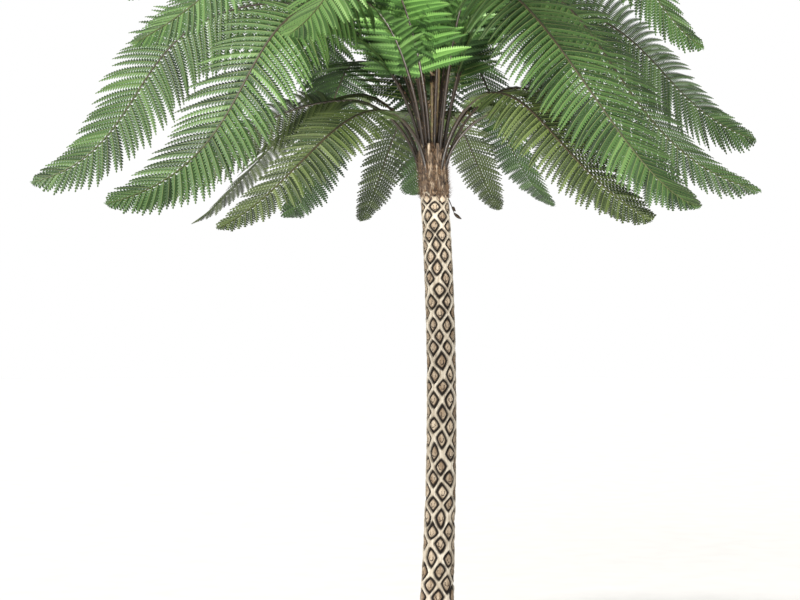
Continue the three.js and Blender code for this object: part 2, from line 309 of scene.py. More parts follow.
def build_trunk():
    heights = TRUNK_TOP * np.linspace(0, 1, TRUNK_RINGS)
    azimuths = 2 * np.pi * np.arange(TRUNK_SIDES) / TRUNK_SIDES
    height, azimuth = np.meshgrid(heights, azimuths, indexing="ij")
    skin = on_trunk(azimuth, height)
    column, row = scar_lattice(azimuth, height)
    column = column + SCAR_STRAY[0] * roughly(skin, SCAR_STRAY_SIZE, 3)
    row = row + SCAR_STRAY[1] * roughly(skin, SCAR_STRAY_SIZE, 7)
    distance = scar_distance(column, row) * (1 + SCAR_UNEVEN * roughly(skin, SCAR_UNEVEN_SIZE, 11))
    ragged = height + MANTLE_RAGGED * roughly(skin, 0.10, 5)
    scarred = smoothstep(ragged, MANTLE_FULL, MANTLE_TOP)
    ridge = smoothstep(distance, *RIM_OUTSIDE)
    face = 1 - smoothstep(distance, *RIM_INSIDE)
    grain = roughly(skin * (1, 1, 0.16), GRAIN_SIZE, 13)
    relief = lerp(-GROOVE_DEPTH, RIDGE_HEIGHT, ridge)
    relief = lerp(relief, FACE_HEIGHT + FACE_RELIEF * roughly(skin, 0.02, 17), face)
    lumps = roughly(skin * (1, 1, 0.3), 0.05, 19)
    matted = MAT_LUMPS[0] * grain + MAT_LUMPS[1] * (lumps - 0.5)
    standing = lerp(matted, relief + GRAIN_RELIEF * grain, scarred)
    faces = skin_faces(TRUNK_RINGS, TRUNK_SIDES)
    vertices = on_trunk(azimuth, height, standing).reshape(-1, 3)
    cap_middles = [trunk_centre(0.0), trunk_centre(TRUNK_TOP)]
    rim = np.arange(TRUNK_SIDES)
    after = (rim + 1) % TRUNK_SIDES
    last = (TRUNK_RINGS - 1) * TRUNK_SIDES
    count = len(vertices)
    under = np.stack([after, rim, np.full_like(rim, count)], -1)
    over = np.stack([last + rim, last + after, np.full_like(rim, count + 1)], -1)
    vertices = np.concatenate([vertices, cap_middles])
    faces = np.concatenate([faces, under, over])
    trunk = make_piece("trunk_bark", vertices, faces, [bark_finish()], ["trunk"])
    ends = np.zeros(2)
    set_attribute(trunk, "ridge", np.concatenate([(ridge * scarred).ravel(), ends]))
    set_attribute(trunk, "face", np.concatenate([(face * scarred).ravel(), ends]))
    set_attribute(trunk, "mantle", np.concatenate([(1 - scarred).ravel(), ends + 1]))
    unroll_trunk(trunk, faces, len(under) + len(over))


def unroll_trunk(trunk, faces, capped):
    """The bark unrolled in three lengths laid side by side, and the two cut ends in a strip
    beside them."""
    lengths, strip, gap = 3, 0.04, 0.03
    ring, side = ring_and_side(faces[:-capped], TRUNK_SIDES)
    per_length = (TRUNK_RINGS - 1) / lengths
    length = np.minimum(ring.min(1, keepdims=True) // per_length, lengths - 1)
    across = (length + side / TRUNK_SIDES * (1 - gap)) / lengths * (1 - strip)
    along = lerp(0.01, 0.99, (ring - length * per_length) / per_length)
    corner = np.tile([[1 - strip / 2, 0.0], [1.0, 0.02], [1.0, 0.0]], (capped, 1))
    across = np.concatenate([across.ravel(), corner[:, 0]])
    along = np.concatenate([along.ravel(), corner[:, 1]])
    set_unrolled(trunk, across, along)


build_trunk()


# ================================================================ bundle scars
# In each leaf scar the cut ends of the frond's vessels show as a horseshoe of small dark
# knobs, a little proud of the face.

HORSESHOE = (-200, 20)  # degrees from its first knob to its last
HORSESHOE_RADII = (0.0125, 0.020)  # across and up the trunk
KNOBS = 9
KNOB_SIDES = 6
KNOB_RADIUS = 0.0046
KNOB_STRETCH = 1.3  # up the trunk
KNOB_HEIGHT = 0.0022
KNOB_COLOURS = [(0.012, 0.008, 0.006, 1), (0.050, 0.032, 0.022, 1)]


def knob_finish():
    material, tree, shader = new_material("bundle_scars")
    grain = stretched_noise(tree, (1, 1, 1), 160)
    colour = blend_colours(tree, grain, *KNOB_COLOURS)
    tree.links.new(colour, shader.inputs["Base Color"])
    shader.inputs["Roughness"].default_value = 0.7
    return material


def knob(azimuth, height, size):
    """One knob, a low cone with its rim let into the scar's face."""
    middle = on_trunk(azimuth, height, FACE_HEIGHT)
    outward = outward_at(azimuth)
    sideways = np.array([-outward[1], outward[0], 0])
    angle = 2 * np.pi * np.arange(KNOB_SIDES)[:, None] / KNOB_SIDES
    step = sideways * np.cos(angle) + (0, 0, KNOB_STRETCH) * np.sin(angle)
    rim = middle - outward * 0.001 + step * KNOB_RADIUS * size
    tip = middle + outward * KNOB_HEIGHT
    faces = [(side, (side + 1) % KNOB_SIDES, KNOB_SIDES) for side in range(KNOB_SIDES)]
    return np.concatenate([rim, [tip]]), np.array(faces)


def build_knobs():
    rng = random.Random(41)
    parts = []
    for half_row in range(int(SCAR_ROWS[-1] * 2)):
        level = float(np.interp(half_row / 2, SCAR_ROWS, SCAR_HEIGHTS))
        if not MANTLE_TOP + 0.02 < level < TRUNK_TOP - 0.03:
            continue
        for i in range(SCARS_ROUND):
            column = i + (half_row % 2) / 2
            azimuth = 2 * math.pi * (column - SCAR_TURN - SCAR_TWIST * level) / SCARS_ROUND
            skin = on_trunk(azimuth, level)
            azimuth -= 2 * math.pi / SCARS_ROUND * SCAR_STRAY[0] * float(roughly(skin, SCAR_STRAY_SIZE, 3))
            height = level - scar_pitch(level) * SCAR_STRAY[1] * float(roughly(skin, SCAR_STRAY_SIZE, 7))
            for number in range(KNOBS):
                turn = math.radians(lerp(*HORSESHOE, number / (KNOBS - 1)))
                size = rng.uniform(0.8, 1.15)
                across = HORSESHOE_RADII[0] * math.cos(turn) / NECK_RADIUS * size
                up = HORSESHOE_RADII[1] * math.sin(turn) * size
                parts.append(knob(azimuth + across, height + up, size))
    vertices, faces = joined(parts)
    make_piece("bundle_scars", vertices, faces, [knob_finish()])


build_knobs()


# ================================================================ root mantle
# Wiry dark roots grow out through the bark near the foot and run down over each other to
# the ground. They thicken the trunk into its flare.

ROOTS = 170
ROOT_TOPS = (0.18, MANTLE_TOP + 0.06, 0.40)  # the lowest, the highest and the most common
ROOT_DRIFT = 0.35  # how far a root may wander round the trunk, in radians
ROOT_SIDES = 5
ROOT_STEPS = 16
ROOT_RADIUS = (0.0035, 0.0085)
ROOT_COLOURS = [(0.3, (0.030, 0.018, 0.012, 1)), (0.55, ROOT_BROWN), (0.75, ROOT_BROWN_PALE)]
SKEW = (0.313, 0.117, 0.943)  # a direction along which no piece runs


def unit(vectors):
    return vectors / np.linalg.norm(vectors, axis=-1, keepdims=True)


def tube(points, radii, sides, pointed=1.0):
    """A closed skin of rings round a line of points, and its faces. pointed is how far its far
    end stands out, in radii."""
    points = np.asarray(points, float)
    radii = np.broadcast_to(radii, len(points))
    along = unit(np.gradient(points, axis=0))
    left = unit(np.cross(along, SKEW))
    above = np.cross(along, left)
    angle = (2 * np.pi * np.arange(sides) / sides)[None, :, None]
    ring = np.cos(angle) * left[:, None] + np.sin(angle) * above[:, None]
    vertices = (points[:, None] + ring * radii[:, None, None]).reshape(-1, 3)
    faces = skin_faces(len(points), sides)
    tips = np.stack([points[0] - along[0] * radii[0], points[-1] + along[-1] * radii[-1] * pointed])
    side = np.arange(sides)
    after = (side + 1) % sides
    last = (len(points) - 1) * sides
    start = np.stack([after, side, np.full(sides, len(vertices))], -1)
    end = np.stack([last + side, last + after, np.full(sides, len(vertices) + 1)], -1)
    return np.concatenate([vertices, tips]), np.concatenate([faces, start, end])


def root_finish():
    """Wiry root: dark brown, rusty where it has split, and rough."""
    material, tree, shader = new_material("root_fibre")
    grain = stretched_noise(tree, (1, 1, 0.3), 70)
    colour = ramp(tree, grain, *ROOT_COLOURS)
    bump = add_node(tree, "ShaderNodeBump", {"Height": grain, "Strength": 0.5, "Distance": 0.002})
    tree.links.new(colour, shader.inputs["Base Color"])
    tree.links.new(bump.outputs["Normal"], shader.inputs["Normal"])
    shader.inputs["Roughness"].default_value = 0.85
    return material


def build_roots():
    rng = random.Random(7)
    parts = []
    for i in range(ROOTS):
        azimuth = 2 * math.pi * (i + rng.uniform(-0.4, 0.4)) / ROOTS
        top = rng.triangular(*ROOT_TOPS)
        radius = rng.uniform(*ROOT_RADIUS)
        drift = rng.uniform(-ROOT_DRIFT, ROOT_DRIFT)
        phase = rng.uniform(0, 2 * math.pi)
        share = np.linspace(0, 1, ROOT_STEPS)
        height = top * (1 - share) ** 1.25 + radius * 1.05
        turn = azimuth + drift * share * (top / MANTLE_TOP) + 0.05 * np.sin(phase + 7 * share)
        emerging = np.sin(np.pi * np.minimum(share * 2.5, 0.5))
        standing = radius * lerp(0.2, 0.9, emerging) - 0.004 * (share == 0)
        radii = radius * lerp(0.55, 1.0, np.minimum(share * 4, 1))
        parts.append(tube(on_trunk(turn, height, standing), radii, ROOT_SIDES))
    vertices, faces = joined(parts)
    vertices[:, 2] = np.maximum(vertices[:, 2], 0)
    make_piece("root_mantle", vertices, faces, [root_finish()])


build_roots()


# ================================================================ head
# Above the scars the trunk is still hidden by the bases of old fronds, packed in a spiral
# and broken off short. Chaff scales, long and thin as hairs, cover them and the crown's
# heart.

HEAD_FOOT = TRUNK_TOP - HEAD_HEIGHT
HEAD_PROFILE = [
    (HEAD_FOOT, 0.090),
    (-0.11, 0.090),
    (-0.03, 0.092),
    (0.04, 0.086),
    (0.095, 0.066),
    (0.13, 0.038),
    (0.142, 0.004),
]
HEAD_SIDES = 64
HEAD_RINGS = 48
STUB_ROWS = 5
STUBS_ROUND = 10
STUB_FEET = (-0.250, 0.0)  # levels of the lowest row and the highest
STUB_LENGTH = (0.12, 0.19)
STUB_RADIUS = (0.018, 0.012)
STUB_REACH = 0.082  # from the head's middle to the foot of a stub
STUB_STEPS = 7
CHAFF = 3600
CHAFF_LEVELS = (-0.24, 0.135)
CHAFF_LENGTH = (0.018, 0.050)
CHAFF_WIDTH = 0.0035

CHAFF_COLOURS = [
    (0.35, (0.030, 0.018, 0.011, 1)),
    (0.52, (0.110, 0.062, 0.032, 1)),
    (0.70, (0.280, 0.175, 0.090, 1)),
]
STUB_COLOURS = [
    (0.38, (0.016, 0.011, 0.008, 1)),
    (0.53, (0.120, 0.082, 0.052, 1)),
    (0.68, (0.500, 0.410, 0.300, 1)),
]


def chaff_finish():
    """Dry scales, from near black to foxy brown, with a slight gloss."""
    material, tree, shader = new_material("chaff")
    tone = stretched_noise(tree, (1, 1, 1), 45)
    tree.links.new(ramp(tree, tone, *CHAFF_COLOURS), shader.inputs["Base Color"])
    shader.inputs["Roughness"].default_value = 0.55
    return material


def stub_finish():
    """Old stalk bases: hard and nearly black, worn brown at the edges, warty."""
    material, tree, shader = new_material("stalk_bases")
    grain = stretched_noise(tree, (1, 1, 0.25), 55, 6)
    warts = stretched_noise(tree, (1, 1, 1), 140, 2)
    colour = ramp(tree, grain, *STUB_COLOURS)
    height = add_node(tree, "ShaderNodeMath", {0: grain, 1: warts}, operation="ADD").outputs[0]
    bump = add_node(tree, "ShaderNodeBump", {"Height": height, "Strength": 0.7, "Distance": 0.003})
    tree.links.new(colour, shader.inputs["Base Color"])
    tree.links.new(bump.outputs["Normal"], shader.inputs["Normal"])
    shader.inputs["Roughness"].default_value = 0.75
    return material


def head_radius(level):
    levels, radii = zip(*HEAD_PROFILE)
    return np.interp(level, levels, radii)


def scales(roots, directions, outward, lengths, width):
    """Chaff scales as folded slivers, one at each root."""
    across = unit(np.cross(directions, outward))
    lengths = lengths[:, None]
    waist = roots + directions * lengths * 0.35
    corners = [
        roots,
        waist + across * width / 2,
        waist + outward * width * 0.35,
        waist - across * width / 2,
        roots + directions * lengths + outward * lengths * 0.12,
    ]
    vertices = np.stack(corners, axis=1).reshape(-1, 3)
    one = np.array([(0, 2, 1), (0, 3, 2), (1, 2, 4), (2, 3, 4)])
    faces = one[None] + 5 * np.arange(len(roots))[:, None, None]
    return vertices, faces.reshape(-1, 3)


def build_stubs():
    level = np.linspace(HEAD_FOOT, HEAD_PROFILE[-1][0], HEAD_RINGS)
    azimuths = 2 * np.pi * np.arange(HEAD_SIDES) / HEAD_SIDES
    level, azimuth = np.meshgrid(level, azimuths, indexing="ij")
    outward = outward_at(azimuth)
    skin = trunk_centre(HEAD_HEIGHT + level) + outward * head_radius(level)[..., None]
    skin += outward * (0.004 * roughly(skin * (1, 1, 0.4), 0.02, 23))[..., None]

    rng = random.Random(19)
    parts = [(skin.reshape(-1, 3), skin_faces(HEAD_RINGS, HEAD_SIDES))]
    share = np.linspace(0, 1, STUB_STEPS)
    radii = lerp(*STUB_RADIUS, share) * np.where(share == 0, 0.6, 1)
    for row in range(STUB_ROWS):
        for i in range(STUBS_ROUND):
            azimuth = 2 * math.pi * (i + 0.5 * row + rng.uniform(-0.12, 0.12)) / STUBS_ROUND
            foot = HEAD_HEIGHT + lerp(*STUB_FEET, row / (STUB_ROWS - 1)) + rng.uniform(-0.012, 0.012)
            height = foot + rng.uniform(*STUB_LENGTH) * share
            lean = azimuth + rng.uniform(-0.05, 0.05) * share
            reach = STUB_REACH + 0.004 * smoothstep(share, 0, 0.5) + rng.uniform(0, 0.008) * share
            line = trunk_centre(height) + outward_at(lean) * reach[:, None]
            parts.append(tube(line, radii, 9, pointed=rng.uniform(-0.5, 0.6)))
    vertices, faces = joined(parts)
    make_piece("stalk_bases", vertices, faces, [stub_finish()], ["head"])


def build_chaff():
    draw = np.random.default_rng(29)
    azimuth = draw.uniform(0, 2 * np.pi, CHAFF)
    level = draw.uniform(*CHAFF_LEVELS, CHAFF)
    outward = outward_at(azimuth)
    reach = np.maximum(head_radius(level), 0.0) + 0.012 * draw.uniform(0, 1, CHAFF)
    roots = trunk_centre(HEAD_HEIGHT + level) + outward * reach[:, None]
    directions = unit(draw.normal(0, 0.35, (CHAFF, 3)) + (0, 0, 0.9) + 0.35 * outward)
    lengths = draw.uniform(*CHAFF_LENGTH, CHAFF)
    vertices, faces = scales(roots, directions, outward, lengths, CHAFF_WIDTH)
    make_piece("head_chaff", vertices, faces, [chaff_finish()], smooth=False)


build_stubs()
build_chaff()


# ================================================================ withered tip
# One old frond has left a last wisp of its rib hanging at the edge of the scars, with a
# few shrivelled black leaflets still on it.

WISP_FOOT = (-0.17, 3.612)  # azimuth, in radians, and height on the trunk
WISP_REACH = 0.042  # out from the trunk
WISP_DROP = 0.100
WISP_RADIUS = 0.0045
WISP_STEPS = 12
# For each leaflet its place on the rib, its length and its radius.
WISP_LEAFLETS = [(0.62, 0.026, 0.0110), (0.72, 0.028, 0.0095), (1.00, 0.062, 0.0115)]
WISP_LEAFLET_STEPS = 9
WITHERED = (0.012, 0.008, 0.005, 1)
WITHERED_PALE = (0.060, 0.038, 0.022, 1)


def withered_finish():
    """Dead leaf: black-brown, dull and crinkled."""
    material, tree, shader = new_material("withered_leaf")
    grain = stretched_noise(tree, (1, 1, 1), 120)
    colour = ramp(tree, grain, (0.4, WITHERED), (0.7, WITHERED_PALE))
    bump = add_node(tree, "ShaderNodeBump", {"Height": grain, "Strength": 0.6, "Distance": 0.002})
    tree.links.new(colour, shader.inputs["Base Color"])
    tree.links.new(bump.outputs["Normal"], shader.inputs["Normal"])
    shader.inputs["Roughness"].default_value = 0.9
    return material


def points_at(where, places, line):
    """Points anywhere along a line whose own points are at the places given."""
    return np.stack([np.interp(where, places, line[:, axis]) for axis in range(3)], axis=-1)


def build_wisp():
    rng = random.Random(83)
    outward = outward_at(WISP_FOOT[0])
    share = np.linspace(0, 1, WISP_STEPS)
    line = on_trunk(*WISP_FOOT) + outward * WISP_REACH * share[:, None]
    line[:, 2] -= WISP_DROP * share**1.2
    parts = [tube(line, lerp(WISP_RADIUS, WISP_RADIUS / 2, share), 6)]
    along = np.linspace(0, 1, WISP_LEAFLET_STEPS)
    for place, length, radius in WISP_LEAFLETS:
        start = points_at(place, share, line)
        heading = unit(0.8 * outward + (rng.uniform(-0.1, 0.1), rng.uniform(-0.3, 0.3), -0.8))
        curl = length * np.array([0.15, 0, 0.10]) * along[:, None] ** 2
        radii = radius * np.sin(np.pi * lerp(0.12, 0.92, along))
        parts.append(tube(start + heading * length * along[:, None] + curl, radii, 8))
    vertices, faces = joined(parts)
    make_piece("withered_tip", vertices, faces, [withered_finish()])


build_wisp()


# ================================================================ frond stalks
# Each frond has one stalk from the head to its tip: black and shaggy at the base, green
# and grooved along the blade. From it the side ribs leave in two rows.

STALK_RADIUS = 0.0125
RIB_TIP_RADIUS = 0.003
RIB_POINT = 0.03  # share of the stalk that runs out into its point
GROOVE_SHARE = 0.45  # of the stalk's radius
BLADE_FULL = 0.42  # share of the frond at which its blade is widest
RISE_PULL = 0.55
ARCH_PULL = 0.45
SWING_PULL = 0.3
STALK_SIDES = 10
STALK_STEPS = 64
FINE_STEPS = 400  # on each half of the curve from which the steps are taken

STALK_COLOURS = [
    (0.02, (0.012, 0.008, 0.006, 1)),
    (0.12, (0.020, 0.013, 0.008, 1)),
    (0.30, (0.026, 0.018, 0.010, 1)),
    (0.70, (0.050, 0.042, 0.018, 1)),
    (1.00, (0.090, 0.120, 0.036, 1)),
]
STALK_MOTTLE = (0.60, 0.55, 0.50, 1)

# The tiers, oldest first. "seat" is the radius and height at which a stalk leaves the head,
# "rise" and "tip_slope" are the slopes of its two ends, in degrees. "blade" is the share of
# the frond that is bare stalk and the length of the first side rib as a share of the
# longest, "tilt" turns the leaflets about their side rib, in degrees. Each frond has its
# azimuth, the radius and height of its arch and of its tip, the shares of the way between
# them in which it carries on level and flares out, the tip's swing to the left, the blade's
# roll to the left, in degrees, and half the blade's width, all as in the solid model.
TIERS = {
    "lower": {
        "seat": (0.086, -0.070),
        "rise": 80,
        "tip_slope": 24,
        "blade": (0.25, 0.3),
        "tilt": -4,
        "slot": "frond_old",
        "fronds": [
            (18, (0.640, 0.560), (2.120, -0.220), 0.45, 0.4, 0.100, -40, 0.40),
            (47, (0.600, 0.480), (2.150, -0.330), 0.45, 0.4, -0.080, -14, 0.34),
            (78, (0.600, 0.430), (2.240, -0.220), 0.34, 0.43, -0.110, 4, 0.24),
            (102, (0.620, 0.445), (2.240, -0.310), 0.5, 0.6, 0.085, -6, 0.235),
            (147, (0.640, 0.530), (2.160, -0.360), 0.4, 0.4, -0.010, 12, 0.34),
            (174, (0.580, 0.460), (2.110, -0.280), 0.45, 0.4, 0.040, 40, 0.35),
            (239, (0.640, 0.330), (2.180, -0.510), 0.42, 0.4, -0.270, 22, 0.30),
            (308, (0.620, 0.455), (2.140, -0.460), 0.3, 0.58, 0.010, -30, 0.32),
            (330, (0.600, 0.370), (1.990, -0.315), 0.42, 0.4, -0.030, -24, 0.26),
        ],
    },
    "middle": {
        "seat": (0.064, 0.0),
        "rise": 83,
        "tip_slope": 14,
        "blade": (0.21, 0.85),
        "tilt": -14,
        "slot": "frond_full",
        "fronds": [
            (26, (0.700, 1.205), (2.726, 0.267), 0.60, 0.48, -0.045, -66, 0.50),
            (66, (0.520, 0.860), (2.510, -0.180), 0.3, 0.68, 0.000, -10, 0.28),
            (91, (0.840, 1.250), (2.450, -0.080), 0.45, 0.5, 0.070, 4, 0.43),
            (125, (0.960, 0.815), (2.130, -0.290), 0.3, 0.53, -0.120, -2, 0.38),
            (148, (0.860, 1.270), (2.600, -0.120), 0.45, 0.45, -0.150, 26, 0.44),
            (182, (1.000, 1.130), (2.790, -0.130), 0.67, 0.52, 0.025, 66, 0.46),
            (218, (0.640, 1.095), (2.560, -0.345), 0.58, 0.66, -0.080, 46, 0.46),
            (310, (0.450, 1.235), (2.430, -0.380), 0.32, 0.31, 0.040, -24, 0.48),
            (352, (0.540, 1.270), (2.260, -0.200), 0.4, 0.6, -0.060, -44, 0.42),
        ],
    },
    "upper": {
        "seat": (0.042, 0.070),
        "rise": 86,
        "tip_slope": 28,
        "blade": (0.24, 1.0),
        "tilt": -14,
        "slot": "frond_young",
        "fronds": [
            (6, (0.760, 1.900), (1.950, 0.850), 0.50, 0.41, 0.035, -60, 0.47),
            (52, (0.900, 1.830), (2.200, 0.600), 0.45, 0.4, 0.480, -8, 0.48),
            (88, (0.860, 1.760), (2.100, 0.660), 0.45, 0.4, 0.070, 6, 0.50),
            (124, (0.900, 1.860), (2.250, 0.600), 0.45, 0.4, -0.540, 8, 0.50),
            (168, (0.960, 1.990), (2.240, 1.220), 0.45, 0.4, 0.070, 38, 0.44),
            (204, (0.700, 1.830), (2.180, 0.730), 0.30, 0.6, -0.040, 42, 0.42),
            (241, (0.950, 1.380), (1.720, 0.720), 0.3, 0.66, -0.110, 14, 0.48),
            (284, (0.780, 2.060), (1.850, 1.180), 0.45, 0.4, -0.060, -16, 0.44),
            (328, (0.900, 1.900), (1.960, 1.150), 0.45, 0.4, 0.060, -46, 0.44),
        ],
    },
}


def bezier(a, b, c, d):
    share = np.linspace(0, 1, FINE_STEPS)[:, None]
    rest = 1 - share
    return rest**3 * a + 3 * rest**2 * share * b + 3 * rest * share**2 * c + share**3 * d


def rib_line(tier, frond, count):
    """Evenly spaced points along a frond's stalk, from its seat to its tip."""
    azimuth, arch, tip, carry, flare, swing, _, _ = frond
    outward = outward_at(math.radians(azimuth))
    sideways = np.array([-outward[1], outward[0], 0])

    def at(place, side=0.0):
        return outward * place[0] + sideways * side + np.array([0, 0, HEAD_HEIGHT + place[1]])

    def along(place, degrees, distance):
        slope = math.radians(degrees)
        return place[0] + distance * math.cos(slope), place[1] + distance * math.sin(slope)

    seat = tier["seat"]
    rise = RISE_PULL * (arch[1] - seat[1])
    shoulder = ARCH_PULL * (arch[0] - seat[0])
    fall = tip[0] - arch[0]
    risen = at(along(seat, tier["rise"], rise))
    rising = bezier(at(seat), risen, at(along(arch, 0, -shoulder)), at(arch))
    flared = at(along(tip, 180 - tier["tip_slope"], flare * fall), SWING_PULL * swing)
    falling = bezier(at(arch), at(along(arch, 0, carry * fall)), flared, at(tip, swing))
    fine = np.concatenate([rising, falling[1:]])
    travelled = np.concatenate([[0], np.cumsum(np.linalg.norm(np.diff(fine, axis=0), axis=1))])
    return points_at(np.linspace(0, travelled[-1], count), travelled, fine), travelled[-1]


def rib_frames(points, roll, share, start):
    """Directions along the stalk, to the blade's left and above it."""
    along = unit(np.gradient(points, axis=0))
    left = unit(np.cross((0, 0, 1), along))
    above = np.cross(along, left)
    turn = -np.radians(roll * smoothstep(share, start, BLADE_FULL))[:, None]
    rolled = left * np.cos(turn) + above * np.sin(turn)
    return along, rolled, np.cross(along, rolled)


def stalk_tube(points, left, above, share):
    """The stalk's skin, with the groove that runs along its upper side."""
    angle = 2 * np.pi * np.arange(STALK_SIDES) / STALK_SIDES
    upper = np.clip(np.sin(angle), 0, 1) ** 6
    groove = upper[None] * GROOVE_SHARE * smoothstep(share, 0.05, 0.25)[:, None]
    radius = lerp(STALK_RADIUS, RIB_TIP_RADIUS, share)
    radius = np.where(share > 1 - RIB_POINT, radius * (1 - share) / RIB_POINT + 0.0004, radius)
    reach = radius[:, None] * (1 - groove)
    angle = angle[None, :, None]
    ring = np.cos(angle) * left[:, None] + np.sin(angle) * above[:, None]
    vertices = points[:, None] + ring * reach[..., None]
    return vertices.reshape(-1, 3), skin_faces(len(points), STALK_SIDES)


def stalk_finish():
    """Frond stalk: black-brown at its base, olive up to the arch, green at the tip."""
    material, tree, shader = new_material("frond_stalk")
    share = add_node(tree, "ShaderNodeAttribute", attribute_name="share").outputs["Fac"]
    streak = stretched_noise(tree, (1, 1, 1), 38)
    mottle = ramp(tree, streak, (0.35, STALK_MOTTLE), (0.6, WHITE))
    colour = blend_colours(tree, 1.0, ramp(tree, share, *STALK_COLOURS), mottle, "MULTIPLY")
    bump = add_node(tree, "ShaderNodeBump", {"Height": streak, "Strength": 0.25, "Distance": 0.002})
    tree.links.new(colour, shader.inputs["Base Color"])
    tree.links.new(bump.outputs["Normal"], shader.inputs["Normal"])
    shader.inputs["Roughness"].default_value = 0.45
    return material


# ================================================================ frond leaflets
# Each side rib carries two rows of leaflets, every one a small blade folded at its vein
# with its edges rolled down. The side ribs shorten and lean forward towards the tip.

FIRST_RIB = -0.04  # from the end of the bare stalk, as a share of the frond
LAST_RIB = 0.995
SIDE_RIB_PITCH = 0.0455
SIDE_RIB_WIDTH = 0.0032
SIDE_RIB_LEAN = (16, 62)  # towards the frond's tip, at the widest place and at the tip
SIDE_RIB_REACH = (0.89, 1.05)  # the least and most of the blade's outline that one fills
SHORTEST_RIB = 0.025
LEAFLET_PITCH = 0.0215
LEAFLET_LENGTH = 0.0395
LEAFLET_ANGLE = 30  # degrees by which it leans towards the side rib's tip
LEAFLET_NOTCH = (0.80, 0.88)  # width at its waist of the side nearer the stalk, and of the other
LEAFLET_FOLD = (0.11, 0.20)  # how far its waist and its end are bent down, in lengths
TAPER = 0.55  # 0.5 would be the end of an ellipse
TIP_SHARE = 0.12  # of the tapering part, which narrows to a point
TIP_POINT = 0.35
BLADE_DROOP = 7
SAG = 0.75  # how strongly a side rib bends to the ground, for each metre of its length
STALK_CHAFF = 90  # scales on each stalk
STALK_CHAFF_END = 0.26  # of the stalk
STALK_CHAFF_LENGTH = (0.010, 0.030)
STALK_CHAFF_WIDTH = 0.003

# From the darkest to the lightest. A side rib has two neighbours of these, the lighter one
# on its front row of leaflets as painted light, the darker on the rear row beneath as painted shade.
LEAF_GREENS = {
    "lower": [
        (0.018, 0.030, 0.008, 1),
        (0.036, 0.058, 0.014, 1),
        (0.075, 0.110, 0.026, 1),
        (0.120, 0.165, 0.045, 1),
    ],
    "middle": [
        (0.012, 0.030, 0.008, 1),
        (0.026, 0.064, 0.014, 1),
        (0.058, 0.126, 0.030, 1),
        (0.105, 0.200, 0.055, 1),
    ],
    "upper": [
        (0.018, 0.046, 0.010, 1),
        (0.040, 0.100, 0.020, 1),
        (0.090, 0.190, 0.042, 1),
        (0.150, 0.270, 0.078, 1),
    ],
}
FROND_TONES = (0.35, 1.1)  # the green that a frond is mostly of, from 0 to 2
TONE_SPREAD = 0.45
SIDE_RIB_GREEN = (0.150, 0.190, 0.060, 1)


def plain_finish(name, colour, roughness):
    material, _, shader = new_material(name)
    shader.inputs["Base Color"].default_value = colour
    shader.inputs["Roughness"].default_value = roughness
    shader.inputs["Specular IOR Level"].default_value = 0.4
    return material


def blade_outline(share, start, first):
    """Length of the side rib that leaves the stalk at a share of its length, as a share of
    the longest."""
    opening = lerp(first, 1, smoothstep(share, start, BLADE_FULL - 0.08))
    outer = (share - BLADE_FULL) / (1 - BLADE_FULL)
    tapering = np.maximum(0, 1 - outer**2) ** TAPER
    tapering = tapering * np.clip((1 - outer) / TIP_SHARE, 0, 1) ** TIP_POINT
    return np.where(share < BLADE_FULL, opening, tapering)


def side_rib(start, first, towards_tip, above, length, sag, tilt):
    """Stations along a side rib with, at each, its direction, its blade's normal and the
    direction across it."""
    count = max(3, int(round(length / LEAFLET_PITCH)))
    share = (np.arange(count + 1) / count)[:, None]
    bend = sag * share**1.4
    directions = unit(first + bend * np.array([0, 0, -1.0]) + 0.22 * share**2 * towards_tip)
    steps = (directions[1:] + directions[:-1]) / 2 * length / count
    stations = start + np.concatenate([np.zeros((1, 3)), np.cumsum(steps, axis=0)])
    tilted = above * math.cos(tilt) + towards_tip * math.sin(tilt)
    normals = unit(tilted - directions * (directions @ tilted)[:, None])
    across = np.cross(directions, normals)
    return stations, directions, normals, across


def side_rib_ridge(stations, normals, across, radius):
    """The side rib itself, a low ridge along the leaflets' feet."""
    every = np.unique(np.linspace(0, len(stations) - 1, 6).astype(int))
    width = radius * np.linspace(1, 0.35, len(every))[:, None]
    crest = stations[every] + normals[every] * width * 0.8
    edges = [stations[every] - across[every] * width, crest, stations[every] + across[every] * width]
    vertices = np.stack(edges, axis=1).reshape(-1, 3)
    faces = []
    for i in range(len(every) - 1):
        a, b = 3 * i, 3 * i + 3
        for left, right in ((0, 1), (1, 2)):
            faces += [(a + left, b + left, b + right), (a + left, b + right, a + right)]
    return vertices, np.array(faces)


